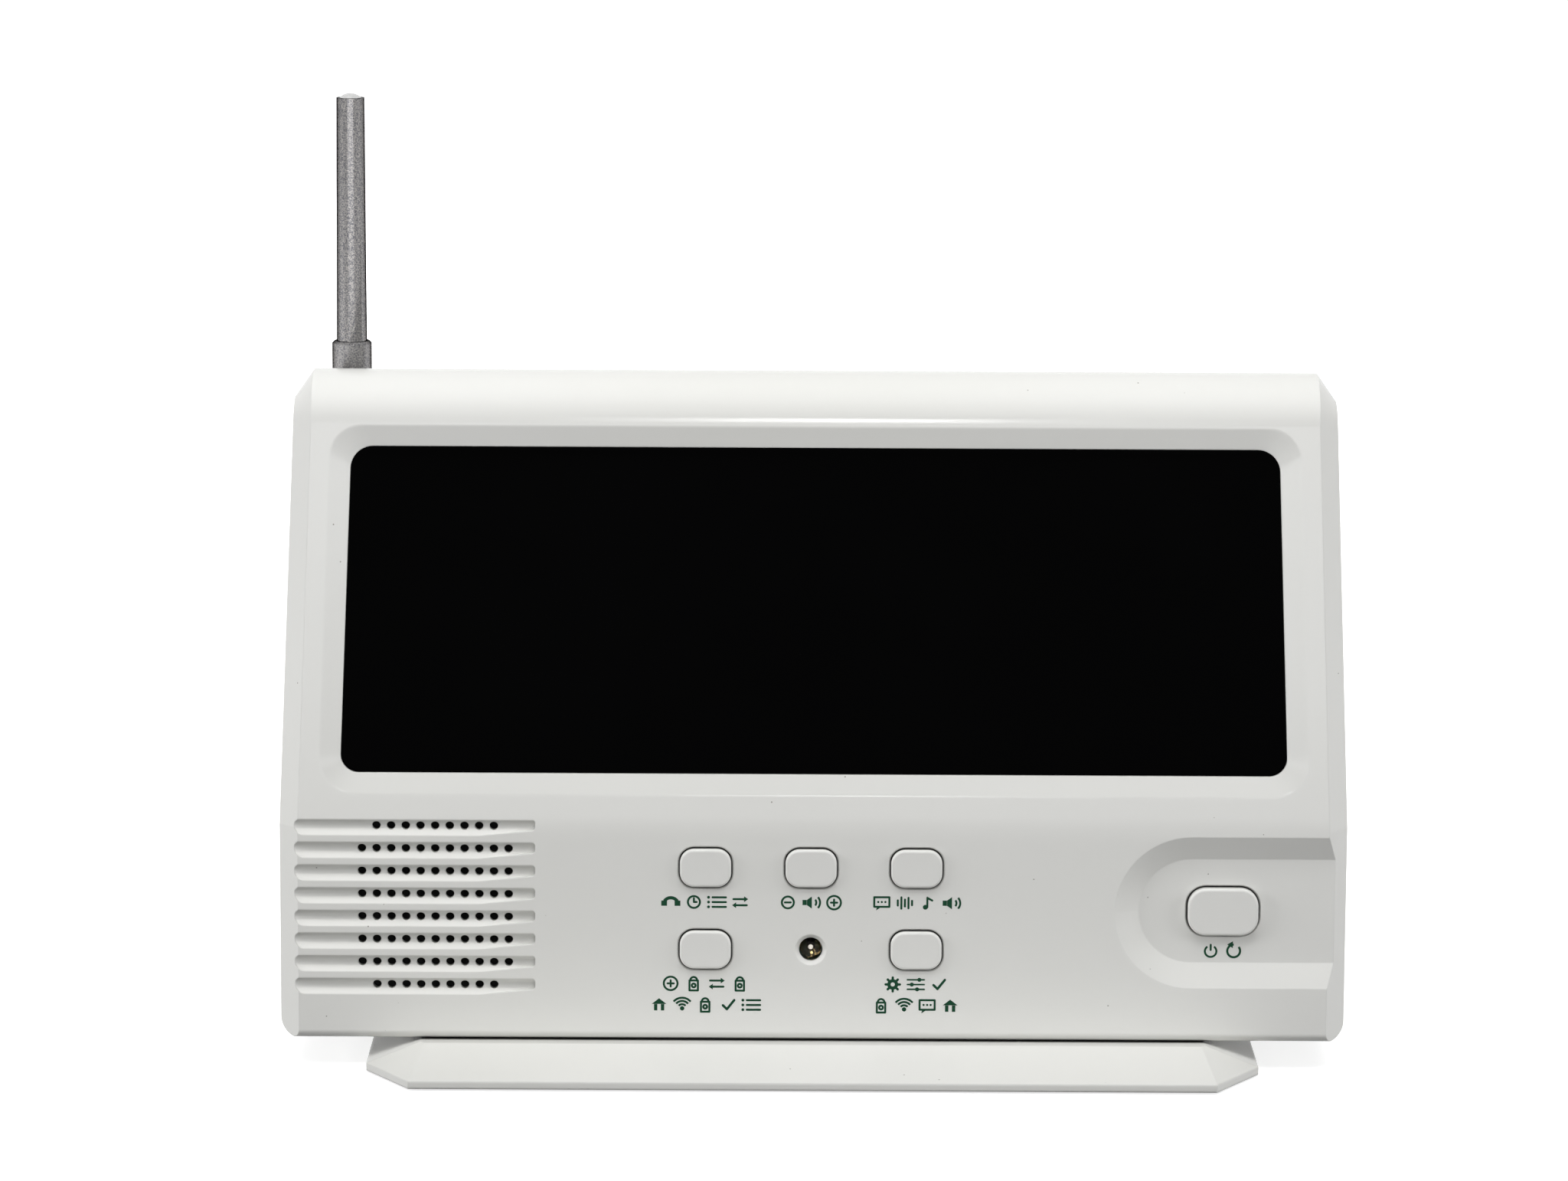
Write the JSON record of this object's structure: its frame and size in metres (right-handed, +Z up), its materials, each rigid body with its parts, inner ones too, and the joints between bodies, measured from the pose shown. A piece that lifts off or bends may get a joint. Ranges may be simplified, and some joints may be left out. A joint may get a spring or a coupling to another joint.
{
  "type": "medical alert base station",
  "caption": "Desk and wall base station with a leaning display window, push keys, a speaker grille, a swivelling antenna, a battery door and a screwed-on foot.",
  "frame": {"origin": "on the table under the middle of the foot", "axes": "+X to the object's right as one faces it, +Y towards its back, +Z up"},
  "size_m": [0.241, 0.101, 0.2149],
  "materials": {
    "white_case": "satin",
    "white_key": "satin",
    "black_window": "polished, tinted",
    "black_foam": "closed-cell foam",
    "display_glass": "polished",
    "green_board": "solder mask",
    "black_component": "moulded",
    "zinc_screw": "zinc plated",
    "nickel_contact": "nickel plated",
    "black_plunger": "moulded",
    "clear_lamp": "clear",
    "speaker_frame": "black",
    "ferrite": "sintered",
    "paper_cone": "pressed paper",
    "cell_jacket": "plain wrapped",
    "antenna_grey": "metallic speckle",
    "antenna_cap": "moulded",
    "rubber_pad": "matte",
    "wire_jacket": "smooth"
  },
  "bodies": {
    "base": {"antenna_lead": "black_component", "antenna_pivot": "zinc_screw", "aux_jack": "black_component", "battery_cells": "cell_jacket", "battery_lead": "wire_jacket", "battery_plates": "nickel_contact", "battery_springs": "nickel_contact", "display_board": "green_board", "display_panel": "display_glass", "display_screws": "zinc_screw", "foot": "white_case", "foot_screws": "zinc_screw", "front_housing": "white_case", "housing_screws": "zinc_screw", "inlet_pin": "nickel_contact", "key_board": "green_board", "key_board_screws": "zinc_screw", "lamp_leads": "nickel_contact", "lens_gasket": "black_foam", "main_board": "green_board", "main_board_parts": "black_component", "main_board_screws": "zinc_screw", "power_inlet": "black_component", "radio_board": "green_board", "rear_housing": "white_case", "rubber_feet": "rubber_pad", "speaker_basket": "speaker_frame", "speaker_cone": "paper_cone", "speaker_gasket": "black_foam", "speaker_lead": "wire_jacket", "speaker_magnet": "ferrite", "speaker_screws": "zinc_screw", "status_lamp": "clear_lamp", "switch_bases": "black_component", "window_lens": "black_window"},
    "review_key": {"review_key": "white_key", "review_plunger": "black_plunger"},
    "volume_key": {"volume_key": "white_key", "volume_plunger": "black_plunger"},
    "tone_key": {"tone_key": "white_key", "tone_plunger": "black_plunger"},
    "add_key": {"add_key": "white_key", "add_plunger": "black_plunger"},
    "program_key": {"program_key": "white_key", "program_plunger": "black_plunger"},
    "reset_key": {"reset_key": "white_key", "reset_plunger": "black_plunger"},
    "battery_door": {"battery_door": "white_case"},
    "antenna": {"antenna_knuckle": "antenna_grey", "antenna_collar": "antenna_grey", "antenna_rod": "antenna_grey", "antenna_tip": "antenna_cap"}
  },
  "joints": [
    {"name": "review_press", "type": "slide", "parent": "base", "child": "review_key", "axis": [0, 1, 0], "range_m": [0, 0.0006], "stiffness_N_per_m": 2000},
    {"name": "volume_press", "type": "slide", "parent": "base", "child": "volume_key", "axis": [0, 1, 0], "range_m": [0, 0.0006], "stiffness_N_per_m": 2000},
    {"name": "tone_press", "type": "slide", "parent": "base", "child": "tone_key", "axis": [0, 1, 0], "range_m": [0, 0.0006], "stiffness_N_per_m": 2000},
    {"name": "add_press", "type": "slide", "parent": "base", "child": "add_key", "axis": [0, 1, 0], "range_m": [0, 0.0006], "stiffness_N_per_m": 2000},
    {"name": "program_press", "type": "slide", "parent": "base", "child": "program_key", "axis": [0, 1, 0], "range_m": [0, 0.0006], "stiffness_N_per_m": 2000},
    {"name": "reset_press", "type": "slide", "parent": "base", "child": "reset_key", "axis": [0, 1, 0], "range_m": [0, 0.0006], "stiffness_N_per_m": 2000},
    {"name": "battery_door_hinge", "type": "hinge", "parent": "base", "child": "battery_door", "pos_m": [0, 0.029, 0.02715], "axis": [-1, 0, 0], "range_deg": [0, 90]},
    {"name": "antenna_swivel", "type": "hinge", "parent": "base", "child": "antenna", "pos_m": [-0.10758, 0.0358, 0.144], "axis": [0, -1, 0], "range_deg": [-90, 90]}
  ]
}
